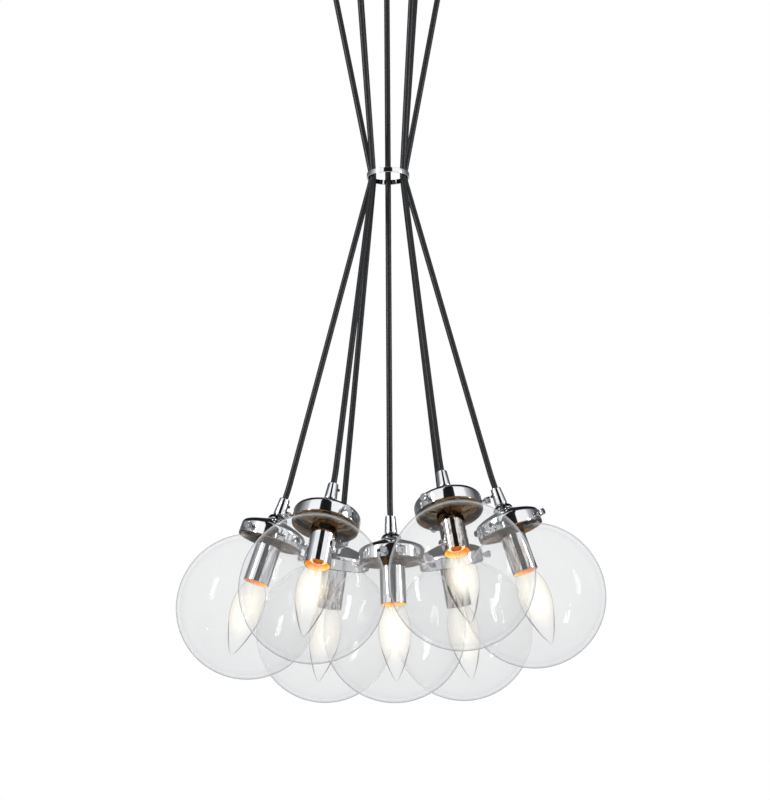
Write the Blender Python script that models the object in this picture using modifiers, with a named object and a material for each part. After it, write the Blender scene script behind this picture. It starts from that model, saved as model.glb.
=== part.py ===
"""Cluster pendant light: seven clear glass globes on cords that one chrome ring gathers.

Metres, +Z up. The origin is the middle of the ceiling strap's top face, at the ceiling.
A lamp's own pieces are drawn upright, with depths counted down from the top of its cord grip.
"""
import math

import bmesh
import bpy
from mathutils import Matrix, Vector

# Fits
SEAT_GAP = 0.0003
CUT_OVERRUN = 0.002
MERGE_DISTANCE = 0.00001
SHARP_ANGLE = math.radians(35)

# Whole arrangement
RING_DROP = 0.292
OUTER_LAMP_DROP = 0.6564
CENTRE_LAMP_DROP = 0.6763
OUTER_TILT = math.radians(18.7)
CENTRE_TILT = math.radians(1.8)
GLOBE_TO_GLOBE = 0.001
HANG_STAGGER = 0.009

# Lamp places round the ring: name, azimuth, azimuth of its cord in the ring, stagger share, screw turn
LAMP_PLACE_SHARES = (
    ("right", 0, 0, 1.0, 91),
    ("back_right", 60, 24, -0.45, 52),
    ("back_left", 120, 156, -0.5, 86),
    ("left", 180, 180, 0.05, 54),
    ("front_left", 240, 204, -0.7, 62),
    ("front_right", 300, 336, 0.6, 54),
)
CENTRE_SCREW_TURN = 20

# Cords
CORD_RADIUS = 0.0032
CORD_BEND_REACH = 0.012
CORD_NOSE_SHARES = ((-0.85, 0.5), (0.0, 1.0))
CORD_SEGMENTS = 1
CORD_CORNER_STEPS = 2

# Gathering ring
RING_RADIUS = 0.0235
RING_WALL = 0.0015
RING_HEIGHT = 0.0055
CORD_CIRCLE_IN_RING = 0.0176
CORD_BEND_BELOW_RING_MIDDLE = 0.0015
NOSE_TO_BEND = 0.00335

# Canopy
CANOPY_RADIUS = 0.090
CANOPY_DEPTH = 0.030
CANOPY_WALL = 0.0012
CANOPY_CORNER = 0.007
OUTLET_CIRCLE = 0.0625
OUTLET_TOP_RADIUS = 0.0068
OUTLET_FOOT_RADIUS = 0.0056
OUTLET_HEIGHT = 0.012
CORD_END_ABOVE_FLOOR = 0.011

# Ceiling strap, its studs and the cap nuts
STRAP_PAST_STUD = 0.00955
STRAP_WIDTH = 0.018
STRAP_THICKNESS = 0.002
STRAP_CORNER = 0.004
SLOT_LENGTH = 0.016
SLOT_WIDTH = 0.005
SLOT_CENTRE = 0.026
STUD_RADIUS = 0.002
STUD_CIRCLE = 0.04445
STUD_BELOW_CANOPY = 0.0055
NUT_RADIUS = 0.0045
NUT_SKIRT = 0.0052
NUT_HEIGHT = 0.0095
NUT_SKIRT_HEIGHT = 0.0015
NUT_DOME_RISE = 0.001

# Cord grip, with its flared cap and threaded stem
GRIP_TOP_RADIUS = 0.0056
GRIP_FOOT_RADIUS = 0.0069
GRIP_LENGTH = 0.0195
GRIP_BORE_DEPTH = 0.012
CAP_RADIUS = 0.0107
CAP_HEIGHT = 0.0055
CAP_EDGE = 0.0012
STEM_RADIUS = 0.0047
STEM_END = 0.0477

# Shade holder and its three thumb screws
FITTER_RADIUS = 0.0355
FITTER_WALL = 0.0009
FITTER_RIM_DEPTH = 0.0508
FITTER_SHOULDER = 0.004
FITTER_CROWN_RADIUS = FITTER_RADIUS - FITTER_SHOULDER
FITTER_CROWN_DROP = 0.008
FITTER_CORNER_DROP = 0.0036
THUMB_SCREWS = 3
SCREW_DEPTH = 0.0445
SCREW_RADIUS = 0.0016
SCREW_HEAD_RADIUS = 0.0037
SCREW_HEAD_LENGTH = 0.006
SCREW_NECK = 0.0031
SCREW_TIP_PAST_LIP = 0.0006

# Socket cover and the lampholder inside it
COVER_RADIUS = 0.01375
COVER_WALL = 0.0008
COVER_PAST_HOLDER = 0.0054
HOLDER_RADIUS = 0.0095
HOLDER_TO_BULB_GLASS = 0.001
BULB_CONTACT_DEPTH = 0.0718
BULB_FIT = 0.0004

# Bulb
BULB_BASE_RADIUS = 0.0059
BULB_CONTACT_RADIUS = 0.003
BULB_CONTACT_HEIGHT = 0.0027
BULB_BASE_LENGTH = 0.0202
BULB_RADIUS = 0.0175
BULB_GLASS_LENGTH = 0.0866
BULB_OUTLINE_SHARES = (
    (0.0, 0.37),
    (0.06, 0.55),
    (0.15, 0.78),
    (0.27, 0.96),
    (0.40, 1.0),
    (0.54, 0.92),
    (0.68, 0.73),
    (0.84, 0.41),
    (1.0, 0.0),
)

# Glass globe
GLOBE_RADIUS = 0.0762
GLASS_WALL = 0.002
NECK_LENGTH = 0.0068
NECK_FILLET = 0.018
LIP_SIDE_CLEARANCE = 0.0013
LIP_OVERHANG = 0.0018
LIP_RADIUS = FITTER_RADIUS - FITTER_WALL - LIP_SIDE_CLEARANCE
NECK_RADIUS = LIP_RADIUS - LIP_OVERHANG
LIP_HEIGHT = 0.0015
LIP_CLEARANCE = 0.0009

# Facets
GLOBE_SIDES = 18
GLOBE_OUTER_BANDS = 7
GLOBE_INNER_BANDS = 5
FITTER_SIDES = 15
SMALL_SIDES = 10
COVER_SIDES = 12
HOLDER_SIDES = 10
BULB_SIDES = 8
CANOPY_SIDES = 28
OUTLET_SIDES = 8
RING_SIDES = 26
SCREW_HEAD_SIDES = 8
PIN_SIDES = 6

CHROME = (0.78, 0.79, 0.81, 1.0)
BLACK = (0.02, 0.02, 0.022, 1.0)
CLEAR = (0.86, 0.91, 0.93, 1.0)
STEEL = (0.55, 0.55, 0.54, 1.0)
CREAM = (0.80, 0.76, 0.66, 1.0)
WARM_GLASS = (1.0, 0.86, 0.62, 1.0)


def clear_scene():
    """Start from an empty file."""
    for found in list(bpy.data.objects):
        bpy.data.objects.remove(found, do_unlink=True)


def new_collection(name):
    """A collection in the scene."""
    made = bpy.data.collections.new(name)
    bpy.context.scene.collection.children.link(made)
    return made


def material(name, colour, roughness, metallic, transmission=0.0):
    """A Principled BSDF for one kind of piece."""
    made = bpy.data.materials.new(name)
    made.use_nodes = True
    shader = made.node_tree.nodes["Principled BSDF"]
    shader.inputs["Base Color"].default_value = colour
    shader.inputs["Roughness"].default_value = roughness
    shader.inputs["Metallic"].default_value = metallic
    shader.inputs["Transmission Weight"].default_value = transmission
    made.diffuse_color = colour
    return made


def evaluated_mesh(item, name):
    """The mesh that an object's modifiers make, welded, with the object itself removed."""
    bpy.context.view_layer.update()
    graph = bpy.context.evaluated_depsgraph_get()
    mesh = bpy.data.meshes.new_from_object(item.evaluated_get(graph), depsgraph=graph)
    mesh.name = name
    bpy.data.objects.remove(item, do_unlink=True)
    welded = bmesh.new()
    welded.from_mesh(mesh)
    bmesh.ops.remove_doubles(welded, verts=welded.verts, dist=MERGE_DISTANCE)
    bmesh.ops.recalc_face_normals(welded, faces=welded.faces)
    welded.to_mesh(mesh)
    welded.free()
    mesh.shade_smooth()
    mesh.set_sharp_from_angle(angle=SHARP_ANGLE)
    return mesh


def turned(name, profile, sides, closed=False):
    """A mesh turned about Z from (radius, depth) points; the outer side runs from top to bottom."""
    mesh = bpy.data.meshes.new(name + "_profile")
    points = [(radius, 0, -depth) for radius, depth in profile]
    edges = [(k, k + 1) for k in range(len(points) - 1)]
    if closed:
        edges.append((len(points) - 1, 0))
    mesh.from_pydata(points, edges, [])
    item = bpy.data.objects.new(name + "_profile", mesh)
    parts.objects.link(item)
    screw = item.modifiers.new("Turn", "SCREW")
    screw.steps = sides
    screw.render_steps = sides
    screw.use_merge_vertices = True
    screw.merge_threshold = MERGE_DISTANCE
    return evaluated_mesh(item, name)


def place(name, mesh, finish, matrix=None, parent=None):
    """An object for one piece, at a world matrix, carried by a parent."""
    item = bpy.data.objects.new(name, mesh)
    parts.objects.link(item)
    if not mesh.materials:
        mesh.materials.append(finish)
    if matrix is not None:
        item.matrix_world = matrix
    if parent is not None:
        carry(item, parent)
    return item


def carry(item, parent):
    """Parent a piece where it stands."""
    bpy.context.view_layer.update()
    item.parent = parent
    item.matrix_parent_inverse = parent.matrix_world.inverted()


def empty(name, matrix, parent=None):
    """A pivot: an empty on a joint's axis."""
    made = bpy.data.objects.new(name, None)
    parts.objects.link(made)
    made.matrix_world = matrix
    if parent is not None:
        carry(made, parent)
    return made


def cylinder(name, radius, length, sides, matrix, taper=1.0):
    """A helper cylinder along its own Z, from 0 to its length."""
    mesh = bpy.data.meshes.new(name)
    shape = bmesh.new()
    bmesh.ops.create_cone(
        shape, cap_ends=True, segments=sides, radius1=radius, radius2=radius * taper, depth=length
    )
    bmesh.ops.translate(shape, verts=shape.verts, vec=(0, 0, length / 2))
    shape.to_mesh(mesh)
    shape.free()
    item = bpy.data.objects.new(name, mesh)
    cutters.objects.link(item)
    item.matrix_world = matrix
    item.hide_render = True
    item.display_type = "WIRE"
    return item


def joined(name, items):
    """One helper object that holds several closed shapes that don't touch."""
    bpy.context.view_layer.update()
    shape = bmesh.new()
    for item in items:
        start = len(shape.verts)
        shape.from_mesh(item.data)
        shape.verts.ensure_lookup_table()
        bmesh.ops.transform(shape, matrix=item.matrix_world, verts=shape.verts[start:])
        bpy.data.objects.remove(item, do_unlink=True)
    mesh = bpy.data.meshes.new(name)
    shape.to_mesh(mesh)
    shape.free()
    made = bpy.data.objects.new(name, mesh)
    cutters.objects.link(made)
    made.hide_render = True
    made.display_type = "WIRE"
    return made


def combined(name, mesh, helpers):
    """The mesh with helpers joined on or cut out, in turn; the helpers are removed."""
    item = bpy.data.objects.new(name + "_blank", mesh)
    parts.objects.link(item)
    for helper, operation in helpers:
        cut = item.modifiers.new(operation.title(), "BOOLEAN")
        cut.operation = operation
        cut.solver = "EXACT"
        cut.object = helper
    made = evaluated_mesh(item, name)
    for helper, operation in helpers:
        bpy.data.objects.remove(helper, do_unlink=True)
    return made


def turn_z(angle):
    """A rotation about +Z."""
    return Matrix.Rotation(angle, 4, "Z")


def around(radius, degrees, height):
    """A point at a radius and azimuth."""
    angle = math.radians(degrees)
    return Vector((radius * math.cos(angle), radius * math.sin(angle), height))


def sphere_points(radius, start, end, bands):
    """Profile points on the globe, from one angle off its foot to another."""
    angles = [start + (end - start) * k / bands for k in range(bands + 1)]
    return [(radius * math.sin(a), globe_centre_depth + radius * math.cos(a)) for a in angles]


def crown_depth(radius):
    """How deep the shade holder's crown lies at a radius, on its outer side."""
    share = (radius - fitter_hole) / (FITTER_CROWN_RADIUS - fitter_hole)
    return fitter_top + share * FITTER_CROWN_DROP


# Sizes that follow from the ones above
fitter_hole = STEM_RADIUS + SEAT_GAP
cap_foot = GRIP_LENGTH + CAP_HEIGHT
fitter_top = cap_foot + SEAT_GAP
corner_depth = fitter_top + FITTER_CROWN_DROP + FITTER_CORNER_DROP
neck_top = corner_depth + FITTER_WALL / 2 + LIP_CLEARANCE
cover_top = crown_depth(COVER_RADIUS) + FITTER_WALL + SEAT_GAP
holder_top = cover_top + COVER_WALL + SEAT_GAP
bulb_glass_top = BULB_CONTACT_DEPTH + BULB_BASE_LENGTH
holder_end = bulb_glass_top - HOLDER_TO_BULB_GLASS
cover_end = holder_end + COVER_PAST_HOLDER
fillet_reach = NECK_RADIUS + NECK_FILLET
fillet_rise = math.sqrt((GLOBE_RADIUS + NECK_FILLET) ** 2 - fillet_reach ** 2)
fillet_depth = neck_top + NECK_LENGTH
globe_centre_depth = fillet_depth + fillet_rise
strap_length = 2 * (STUD_CIRCLE + STRAP_PAST_STUD)
cord_bore = CORD_RADIUS + SEAT_GAP
outlet_bore = cord_bore / math.cos(math.pi / OUTLET_SIDES)
globe_circle = 2 * GLOBE_RADIUS + GLOBE_TO_GLOBE
outer_lamp_circle = globe_circle - globe_centre_depth * math.sin(OUTER_TILT)
stud_hole = STUD_RADIUS + SEAT_GAP


def grip_mesh():
    """The tapered cord grip, its flared cap and the stem that holds the lamp together."""
    bore_floor = GRIP_BORE_DEPTH
    profile = [
        (0, bore_floor),
        (cord_bore, bore_floor),
        (cord_bore, 0),
        (GRIP_TOP_RADIUS, 0),
        (GRIP_FOOT_RADIUS, GRIP_LENGTH),
        (CAP_RADIUS, cap_foot - CAP_EDGE),
        (CAP_RADIUS, cap_foot),
        (STEM_RADIUS, cap_foot),
        (STEM_RADIUS, STEM_END),
        (0, STEM_END),
    ]
    return turned("grip", profile, SMALL_SIDES)


def thumb_screws():
    """Helpers for three thumb screws, backed off from the globe's lip: their pins, then their heads."""
    tip = LIP_RADIUS + SCREW_TIP_PAST_LIP
    head_start = FITTER_RADIUS + SCREW_NECK
    pins = []
    heads = []
    for k in range(THUMB_SCREWS):
        aim = turn_z(math.tau * k / THUMB_SCREWS) @ Matrix.Rotation(math.pi / 2, 4, "Y")
        level = Matrix.Translation((0, 0, -SCREW_DEPTH)) @ aim
        pin_at = level @ Matrix.Translation((0, 0, tip))
        head_at = level @ Matrix.Translation((0, 0, head_start))
        pins.append(cylinder("pin", SCREW_RADIUS, head_start + SEAT_GAP - tip, PIN_SIDES, pin_at))
        heads.append(cylinder("head", SCREW_HEAD_RADIUS, SCREW_HEAD_LENGTH, SCREW_HEAD_SIDES, head_at))
    return joined("pins", pins), joined("heads", heads)


def fitter_mesh():
    """The shallow shade holder: crown, rolled corner and band, with its thumb screws."""
    inner = FITTER_RADIUS - FITTER_WALL
    profile = [
        (fitter_hole, fitter_top),
        (FITTER_CROWN_RADIUS, fitter_top + FITTER_CROWN_DROP),
        (FITTER_RADIUS, corner_depth),
        (FITTER_RADIUS, FITTER_RIM_DEPTH),
        (inner, FITTER_RIM_DEPTH),
        (inner, corner_depth + FITTER_WALL / 2),
        (FITTER_CROWN_RADIUS - FITTER_WALL / 2, fitter_top + FITTER_CROWN_DROP + FITTER_WALL),
        (fitter_hole, fitter_top + FITTER_WALL),
    ]
    blank = turned("fitter_shell", profile, FITTER_SIDES, closed=True)
    pins, heads = thumb_screws()
    return combined("fitter", blank, ((pins, "UNION"), (heads, "UNION")))


def socket_cover_mesh():
    """The plain tube over the lampholder, open at its foot."""
    inner = COVER_RADIUS - COVER_WALL
    profile = [
        (fitter_hole, cover_top),
        (COVER_RADIUS, cover_top),
        (COVER_RADIUS, cover_end),
        (inner, cover_end),
        (inner, cover_top + COVER_WALL),
        (fitter_hole, cover_top + COVER_WALL),
    ]
    return turned("socket_cover", profile, COVER_SIDES, closed=True)


def lampholder_mesh():
    """The candle lampholder: a bore above for the stem and a socket below for the bulb."""
    stem_seat = STEM_END + SEAT_GAP
    socket_floor = BULB_CONTACT_DEPTH - SEAT_GAP
    bulb_bore = BULB_BASE_RADIUS + BULB_FIT
    profile = [
        (0, stem_seat),
        (fitter_hole, stem_seat),
        (fitter_hole, holder_top),
        (HOLDER_RADIUS, holder_top),
        (HOLDER_RADIUS, holder_end),
        (bulb_bore, holder_end),
        (bulb_bore, socket_floor),
        (0, socket_floor),
    ]
    return turned("lampholder", profile, HOLDER_SIDES)


def bulb_mesh():
    """A candle bulb: contact, screw base and a torpedo-shaped glass."""
    shoulder = BULB_CONTACT_DEPTH + BULB_CONTACT_HEIGHT
    profile = [
        (0, BULB_CONTACT_DEPTH),
        (BULB_CONTACT_RADIUS, BULB_CONTACT_DEPTH),
        (BULB_BASE_RADIUS, shoulder),
        (BULB_BASE_RADIUS, bulb_glass_top),
    ]
    for along, out in BULB_OUTLINE_SHARES:
        profile.append((out * BULB_RADIUS, bulb_glass_top + along * BULB_GLASS_LENGTH))
    return turned("bulb", profile, BULB_SIDES)


def globe_mesh():
    """The blown globe: a lip, a straight neck, a fillet and a sphere, hollow and open at the neck."""
    meet = math.pi - math.atan(fillet_reach / fillet_rise)
    bend = math.atan(fillet_rise / fillet_reach) / 2
    inner_radius = GLOBE_RADIUS - GLASS_WALL
    inner_fillet = NECK_FILLET + GLASS_WALL
    outer_bend = (
        fillet_reach - NECK_FILLET * math.cos(bend),
        fillet_depth + NECK_FILLET * math.sin(bend),
    )
    inner_bend = (
        fillet_reach - inner_fillet * math.cos(bend),
        fillet_depth + inner_fillet * math.sin(bend),
    )
    inner_neck = NECK_RADIUS - GLASS_WALL
    profile = sphere_points(inner_radius, 0, meet, GLOBE_INNER_BANDS)
    profile += [inner_bend, (inner_neck, fillet_depth), (inner_neck, neck_top)]
    profile += [(LIP_RADIUS, neck_top), (LIP_RADIUS, neck_top + LIP_HEIGHT)]
    profile += [(NECK_RADIUS, neck_top + 2 * LIP_HEIGHT), (NECK_RADIUS, fillet_depth), outer_bend]
    profile += sphere_points(GLOBE_RADIUS, meet, 0, GLOBE_OUTER_BANDS)
    return turned("globe", profile, GLOBE_SIDES)


def eased_corner(before, corner, after):
    """Points of a smooth bend at a corner, from the side before it to the side after it."""
    start = corner + (before - corner).normalized() * CORD_BEND_REACH
    end = corner + (after - corner).normalized() * CORD_BEND_REACH
    made = []
    for k in range(CORD_CORNER_STEPS + 1):
        t = k / CORD_CORNER_STEPS
        made.append(start.lerp(corner, t).lerp(corner.lerp(end, t), t))
    return made


def cord(name, origin, route, finish, nose=None, parent=None):
    """A round cord along a route; a nose rounds its first end where it meets another cord."""
    data = bpy.data.curves.new(name, "CURVE")
    data.dimensions = "3D"
    data.bevel_depth = CORD_RADIUS
    data.bevel_resolution = CORD_SEGMENTS
    data.use_fill_caps = True
    points = [(point, 1.0) for point in route]
    if nose is not None:
        tip = [(route[0] + nose * CORD_RADIUS * along, size) for along, size in CORD_NOSE_SHARES]
        points = tip + points[1:]
    spline = data.splines.new("POLY")
    spline.points.add(len(points) - 1)
    for spot, (point, size) in zip(spline.points, points):
        spot.co = (*(point - origin), 1)
        spot.radius = size
    data.materials.append(finish)
    item = bpy.data.objects.new(name, data)
    parts.objects.link(item)
    item.location = origin
    if parent is not None:
        carry(item, parent)
    return item


def canopy():
    """The ceiling canopy: a spun pan with seven cord outlets and two stud holes."""
    inner = CANOPY_RADIUS - CANOPY_WALL
    floor = CANOPY_DEPTH - CANOPY_WALL
    flat = CANOPY_RADIUS - CANOPY_CORNER
    chamfer = CANOPY_CORNER * (1 - math.cos(math.pi / 4))
    profile = [
        (0, floor),
        (flat, floor),
        (inner, CANOPY_DEPTH - CANOPY_CORNER),
        (inner, 0),
        (CANOPY_RADIUS, 0),
        (CANOPY_RADIUS, CANOPY_DEPTH - CANOPY_CORNER),
        (CANOPY_RADIUS - chamfer, CANOPY_DEPTH - chamfer),
        (flat, CANOPY_DEPTH),
        (0, CANOPY_DEPTH),
    ]
    pan = turned("canopy_pan", profile, CANOPY_SIDES)
    spots = [Vector((0, 0, 0))] + [around(OUTLET_CIRCLE, spec[1], 0) for spec in LAMP_PLACE_SHARES]
    bosses = []
    bores = []
    upside = Matrix.Rotation(math.pi, 4, "X")
    middle_of_floor = CANOPY_DEPTH - CANOPY_WALL / 2
    for spot in spots:
        seat = Matrix.Translation(spot + Vector((0, 0, -middle_of_floor))) @ upside
        taper = OUTLET_FOOT_RADIUS / OUTLET_TOP_RADIUS
        length = OUTLET_HEIGHT + CANOPY_WALL / 2
        bosses.append(cylinder("outlet", OUTLET_TOP_RADIUS, length, OUTLET_SIDES, seat, taper))
        foot = Matrix.Translation(spot + Vector((0, 0, -CANOPY_DEPTH - OUTLET_HEIGHT - CUT_OVERRUN)))
        depth = OUTLET_HEIGHT + CANOPY_WALL + 2 * CUT_OVERRUN
        bores.append(cylinder("outlet_bore", outlet_bore, depth, OUTLET_SIDES, foot))
    for side in (-1, 1):
        foot = Matrix.Translation((0, side * STUD_CIRCLE, -CANOPY_DEPTH - CUT_OVERRUN))
        depth = CANOPY_WALL + 2 * CUT_OVERRUN
        bores.append(cylinder("stud_hole", stud_hole, depth, PIN_SIDES, foot))
    added = joined("outlet_bosses", bosses)
    removed = joined("canopy_bores", bores)
    mesh = combined("canopy", pan, ((added, "UNION"), (removed, "DIFFERENCE")))
    return place("canopy", mesh, material("canopy_chrome", CHROME, 0.06, 1.0))


def ease_upright_edges(shape, reach):
    """Round the four upright edges of a box."""
    upright = []
    for edge in shape.edges:
        if abs(edge.verts[0].co.z - edge.verts[1].co.z) > MERGE_DISTANCE:
            upright.append(edge)
    bmesh.ops.bevel(shape, geom=upright, offset=reach, segments=2, affect="EDGES", profile=0.5)


def ceiling_strap():
    """The steel strap that screws to the ceiling box, with two studs for the canopy."""
    mesh = bpy.data.meshes.new("strap_blank")
    shape = bmesh.new()
    bmesh.ops.create_cube(shape, size=1)
    size = (STRAP_WIDTH, strap_length, STRAP_THICKNESS)
    bmesh.ops.scale(shape, vec=size, verts=shape.verts)
    bmesh.ops.translate(shape, vec=(0, 0, -STRAP_THICKNESS / 2), verts=shape.verts)
    ease_upright_edges(shape, STRAP_CORNER)
    shape.to_mesh(mesh)
    shape.free()
    studs = []
    slots = []
    stud_length = CANOPY_DEPTH + STUD_BELOW_CANOPY - STRAP_THICKNESS / 2
    for side in (-1, 1):
        foot = Matrix.Translation((0, side * STUD_CIRCLE, -CANOPY_DEPTH - STUD_BELOW_CANOPY))
        studs.append(cylinder("stud", STUD_RADIUS, stud_length, PIN_SIDES, foot))
        slots.append(slot_cutter(side * SLOT_CENTRE))
    added = joined("studs", studs)
    removed = joined("slots", slots)
    made = combined("ceiling_strap", mesh, ((added, "UNION"), (removed, "DIFFERENCE")))
    return place("ceiling_strap", made, material("strap_steel", STEEL, 0.35, 1.0))


def slot_cutter(offset):
    """A box with round ends, along the strap."""
    mesh = bpy.data.meshes.new("slot")
    shape = bmesh.new()
    bmesh.ops.create_cube(shape, size=1)
    height = STRAP_THICKNESS + 2 * CUT_OVERRUN
    bmesh.ops.scale(shape, vec=(SLOT_WIDTH, SLOT_LENGTH, height), verts=shape.verts)
    centre = (0, offset, -STRAP_THICKNESS / 2)
    bmesh.ops.translate(shape, vec=centre, verts=shape.verts)
    ease_upright_edges(shape, SLOT_WIDTH / 2 - 2 * MERGE_DISTANCE)
    shape.to_mesh(mesh)
    shape.free()
    item = bpy.data.objects.new("slot", mesh)
    cutters.objects.link(item)
    return item


def cap_nuts():
    """Two cap nuts that hold the canopy up on the studs."""
    top = CANOPY_DEPTH + SEAT_GAP
    bore_floor = CANOPY_DEPTH + STUD_BELOW_CANOPY + SEAT_GAP
    foot = top + NUT_HEIGHT
    profile = [
        (0, bore_floor),
        (stud_hole, bore_floor),
        (stud_hole, top),
        (NUT_SKIRT, top),
        (NUT_SKIRT, top + NUT_SKIRT_HEIGHT),
        (NUT_RADIUS, top + NUT_SKIRT_HEIGHT),
        (NUT_RADIUS, (top + foot) / 2),
        (NUT_RADIUS / 2, foot - NUT_DOME_RISE),
        (0, foot),
    ]
    mesh = turned("cap_nut", profile, SMALL_SIDES)
    finish = material("cap_nut_chrome", CHROME, 0.08, 1.0)
    for side, word in ((-1, "front"), (1, "back")):
        place("canopy_nut_" + word, mesh, finish, Matrix.Translation((0, side * STUD_CIRCLE, 0)))


def gathering_ring():
    """The flat chrome band that gathers the cords."""
    inner = RING_RADIUS - RING_WALL
    half = RING_HEIGHT / 2
    profile = [(RING_RADIUS, -half), (RING_RADIUS, half), (inner, half), (inner, -half)]
    mesh = turned("gathering_ring", profile, RING_SIDES, closed=True)
    at = Matrix.Translation((0, 0, -RING_DROP))
    place("gathering_ring", mesh, material("ring_chrome", CHROME, 0.05, 1.0), at)


def lamp(name, top, spin, meshes, finishes, parent=None):
    """One lamp: every piece from its cord grip down, on the lamp's own axis."""
    holder = empty("lamp_" + name, top, parent)
    twist = turn_z(math.radians(spin))
    for kind, mesh in meshes.items():
        place(kind + "_" + name, mesh, finishes[kind], top @ twist, holder)


def outer_lamp(spec, meshes, finishes, cord_finish):
    """One of the six lamps round the middle: both stretches of its cord, its pivot and the lamp."""
    name, azimuth, ring_azimuth, stagger, spin = spec
    bend = around(CORD_CIRCLE_IN_RING, ring_azimuth, -RING_DROP - CORD_BEND_BELOW_RING_MIDDLE)
    outlet = around(OUTLET_CIRCLE, azimuth, -CANOPY_DEPTH - OUTLET_HEIGHT)
    grip_top = around(outer_lamp_circle, azimuth, -OUTER_LAMP_DROP + stagger * HANG_STAGGER)
    lean = turn_z(math.radians(azimuth)) @ Matrix.Rotation(-OUTER_TILT, 4, "Y")
    top = Matrix.Translation(grip_top) @ lean
    axis = lean.to_3x3() @ Vector((0, 0, -1))

    below_outlet = outlet - Vector((0, 0, CORD_BEND_REACH))
    up = (below_outlet - bend).normalized()
    upper_start = bend + up * NOSE_TO_BEND
    cord_end = Vector((outlet.x, outlet.y, -CANOPY_DEPTH + CORD_END_ABOVE_FLOOR))
    upper_route = [upper_start] + eased_corner(upper_start, below_outlet, outlet) + [cord_end]
    cord("cord_upper_" + name, upper_start, upper_route, cord_finish, nose=up)

    above_grip = grip_top - axis * CORD_BEND_REACH
    down = (above_grip - bend).normalized()
    pivot = bend + down * NOSE_TO_BEND
    seat = grip_top + axis * (GRIP_BORE_DEPTH - SEAT_GAP)
    lower_route = [pivot] + eased_corner(pivot, above_grip, grip_top) + [seat]
    heading = turn_z(math.atan2(down.y, down.x))
    swing = empty("swing_" + name, Matrix.Translation(pivot) @ heading)
    cord("cord_lower_" + name, pivot, lower_route, cord_finish, nose=down, parent=swing)
    lamp(name, top, spin, meshes, finishes, swing)


def centre_lamp(meshes, finishes, cord_finish):
    """The middle lamp, on one cord straight down through the ring."""
    grip_top = Vector((0, 0, -CENTRE_LAMP_DROP))
    lean = Matrix.Rotation(-CENTRE_TILT, 4, "Y")
    axis = lean.to_3x3() @ Vector((0, 0, -1))
    above_grip = grip_top - axis * CORD_BEND_REACH
    seat = grip_top + axis * (GRIP_BORE_DEPTH - SEAT_GAP)
    cord_end = Vector((0, 0, -CANOPY_DEPTH + CORD_END_ABOVE_FLOOR))
    straight_to = Vector((0, 0, -CANOPY_DEPTH - OUTLET_HEIGHT))
    through = Vector((0, 0, -RING_DROP))
    route = [cord_end, straight_to, through] + eased_corner(through, above_grip, grip_top) + [seat]
    cord("cord_centre", cord_end, route, cord_finish)
    lamp("centre", Matrix.Translation(grip_top) @ lean, CENTRE_SCREW_TURN, meshes, finishes)


def build():
    """Make the whole light."""
    canopy()
    ceiling_strap()
    cap_nuts()
    gathering_ring()
    meshes = {
        "grip": grip_mesh(),
        "fitter": fitter_mesh(),
        "socket_cover": socket_cover_mesh(),
        "lampholder": lampholder_mesh(),
        "bulb": bulb_mesh(),
        "globe": globe_mesh(),
    }
    finishes = {
        "grip": material("grip_chrome", CHROME, 0.07, 1.0),
        "fitter": material("fitter_chrome", CHROME, 0.05, 1.0),
        "socket_cover": material("socket_cover_chrome", CHROME, 0.06, 1.0),
        "lampholder": material("lampholder_cream", CREAM, 0.45, 0.0),
        "bulb": material("bulb_glass", WARM_GLASS, 0.03, 0.0, 0.9),
        "globe": material("globe_glass", CLEAR, 0.0, 0.0, 0.95),
    }
    cord_finish = material("cord_black", BLACK, 0.45, 0.0)
    for spec in LAMP_PLACE_SHARES:
        outer_lamp(spec, meshes, finishes, cord_finish)
    centre_lamp(meshes, finishes, cord_finish)
    bpy.context.view_layer.update()


clear_scene()
parts = new_collection("cluster_pendant_light")
cutters = new_collection("cutters")
build()
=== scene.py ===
"""Looks of the cluster pendant light: fine glass, chrome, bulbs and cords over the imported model.

Metres, +Z up. The origin is the middle of the ceiling strap's top face. A lamp's own pieces are
drawn upright, with depths counted down from the top of its cord grip, and then leant into place.
A profile is a row of (radius, depth) points; a third number eases that corner by so much.
"""

import math

import bmesh
import bpy
from mathutils import Matrix, Vector


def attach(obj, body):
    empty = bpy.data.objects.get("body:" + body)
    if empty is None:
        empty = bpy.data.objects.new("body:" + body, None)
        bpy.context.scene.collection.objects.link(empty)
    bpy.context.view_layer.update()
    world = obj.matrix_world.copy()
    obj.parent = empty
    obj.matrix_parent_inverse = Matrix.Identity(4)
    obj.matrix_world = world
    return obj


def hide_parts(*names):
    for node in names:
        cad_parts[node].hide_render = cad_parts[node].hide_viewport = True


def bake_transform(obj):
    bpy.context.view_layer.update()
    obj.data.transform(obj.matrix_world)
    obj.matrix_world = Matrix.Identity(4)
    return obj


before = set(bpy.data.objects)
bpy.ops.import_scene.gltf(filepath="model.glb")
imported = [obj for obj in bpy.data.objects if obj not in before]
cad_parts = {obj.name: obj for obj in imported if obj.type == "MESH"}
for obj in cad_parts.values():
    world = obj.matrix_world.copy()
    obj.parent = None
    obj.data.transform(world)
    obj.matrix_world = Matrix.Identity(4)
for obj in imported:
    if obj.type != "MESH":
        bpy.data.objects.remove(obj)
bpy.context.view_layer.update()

ROOT = "canopy_and_cords"

# Fineness of the meshes
FINE = 96
ROUND = 48
SMALL = 24
WELD = 0.000001
SHARP_ANGLE = math.radians(40)

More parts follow.
